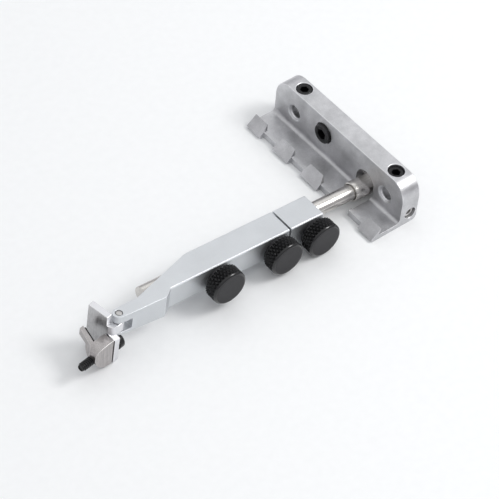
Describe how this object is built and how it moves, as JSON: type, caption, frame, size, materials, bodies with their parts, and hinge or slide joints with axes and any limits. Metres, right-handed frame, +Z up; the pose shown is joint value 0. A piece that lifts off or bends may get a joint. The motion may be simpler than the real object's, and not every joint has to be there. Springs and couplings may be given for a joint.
{
  "type": "guitar tremolo lock",
  "caption": "Tremolo lock for an electric guitar: hooked spring claw, pivoting guide rod, stop collar and receiver arm with thumbscrews, and a swivelling screw clamp.",
  "frame": {"origin": "on the underside of the claw's foot, below the front face of its wall and halfway between the two mounting holes; the whole tool stands on Z = 0", "axes": "-X along the guide rod from the claw to the end clamp, -Y towards the thumbscrews, +Z up out of the claw's foot"},
  "size_m": [0.1141, 0.057, 0.0153],
  "materials": {
    "machined_aluminium": "machined and tumbled, satin with bright edges",
    "anodised_aluminium": "pale clear anodised, fine satin",
    "polished_steel": "polished stainless steel",
    "satin_steel": "satin stainless steel",
    "brushed_steel": "ground stainless steel, slightly brown",
    "black_oxide_steel": "black oxide steel, slightly oily",
    "black_anodised_knob": "black anodised, satin face and diamond knurled band",
    "black_rubber": "matt black"
  },
  "bodies": {
    "claw": {"spring_claw": "machined_aluminium", "top_set_screw_near": "black_oxide_steel", "top_set_screw_far": "black_oxide_steel", "front_socket_screw": "black_oxide_steel", "pivot_pin": "satin_steel"},
    "shaft": {"rod_end": "polished_steel", "guide_rod": "polished_steel"},
    "collar": {"stop_collar": "anodised_aluminium"},
    "receiver": {"receiver_arm": "anodised_aluminium", "hinge_pin": "satin_steel"},
    "collar_thumbscrew": {"collar_screw": "black_oxide_steel"},
    "collar_thumbscrew_knob": {"collar_knob": "black_anodised_knob"},
    "rear_thumbscrew": {"receiver_rear_screw": "black_oxide_steel"},
    "rear_thumbscrew_knob": {"receiver_rear_knob": "black_anodised_knob"},
    "front_thumbscrew": {"receiver_front_screw": "black_oxide_steel"},
    "front_thumbscrew_knob": {"receiver_front_knob": "black_anodised_knob"},
    "clamp": {"clamp_plate": "satin_steel"},
    "clamp_bolt": {"clamp_screw": "black_oxide_steel"},
    "jaw": {"clamp_jaw": "brushed_steel", "jaw_pad": "black_rubber"}
  },
  "joints": [
    {"name": "shaft_pivot", "type": "hinge", "parent": "claw", "child": "shaft", "pos_m": [0.0039, -0.012, 0.0035], "axis": [0, 1, 0], "range_deg": [-8, 20]},
    {"name": "collar_slide", "type": "slide", "parent": "shaft", "child": "collar", "axis": [0.9973, 0, -0.0732], "range_m": [0, 0.0075]},
    {"name": "receiver_slide", "type": "slide", "parent": "shaft", "child": "receiver", "axis": [-0.9973, 0, 0.0732], "range_m": [0, 0.018]},
    {"name": "collar_screw_travel", "type": "slide", "parent": "collar", "child": "collar_thumbscrew", "axis": [0, -1, 0], "range_m": [0, 0.00158]},
    {"name": "collar_knob_spin", "type": "hinge", "parent": "collar_thumbscrew", "child": "collar_thumbscrew_knob", "pos_m": [-0.02452, -0.02, 0.00559], "axis": [0, -1, 0], "range_deg": [0, 720]},
    {"name": "rear_screw_travel", "type": "slide", "parent": "receiver", "child": "rear_thumbscrew", "axis": [0, -1, 0], "range_m": [0, 0.00158]},
    {"name": "rear_knob_spin", "type": "hinge", "parent": "rear_thumbscrew", "child": "rear_thumbscrew_knob", "pos_m": [-0.03819, -0.02, 0.00659], "axis": [0, -1, 0], "range_deg": [0, 720]},
    {"name": "front_screw_travel", "type": "slide", "parent": "receiver", "child": "front_thumbscrew", "axis": [0, -1, 0], "range_m": [0, 0.00158]},
    {"name": "front_knob_spin", "type": "hinge", "parent": "front_thumbscrew", "child": "front_thumbscrew_knob", "pos_m": [-0.05883, -0.02, 0.00811], "axis": [0, -1, 0], "range_deg": [0, 720]},
    {"name": "clamp_swivel", "type": "hinge", "parent": "receiver", "child": "clamp", "pos_m": [-0.09214, -0.017, 0.01055], "axis": [0.0732, 0, 0.9973], "range_deg": [-30, 25]},
    {"name": "clamp_screw_spin", "type": "hinge", "parent": "clamp", "child": "clamp_bolt", "pos_m": [-0.09238, -0.01793, 0.00475], "axis": [-0.979, -0.1908, 0.0719], "range_deg": [-1400, 140]},
    {"name": "jaw_travel", "type": "slide", "parent": "clamp", "child": "jaw", "axis": [0.979, 0.1908, -0.0719], "range_m": [-0.00246, 0.00024]}
  ],
  "couplings": [
    {"joint": "collar_knob_spin", "follows": "collar_screw_travel", "rad_per_m": 7915},
    {"joint": "rear_knob_spin", "follows": "rear_screw_travel", "rad_per_m": 7915},
    {"joint": "front_knob_spin", "follows": "front_screw_travel", "rad_per_m": 7915},
    {"joint": "clamp_screw_spin", "follows": "jaw_travel", "rad_per_m": 9895}
  ]
}
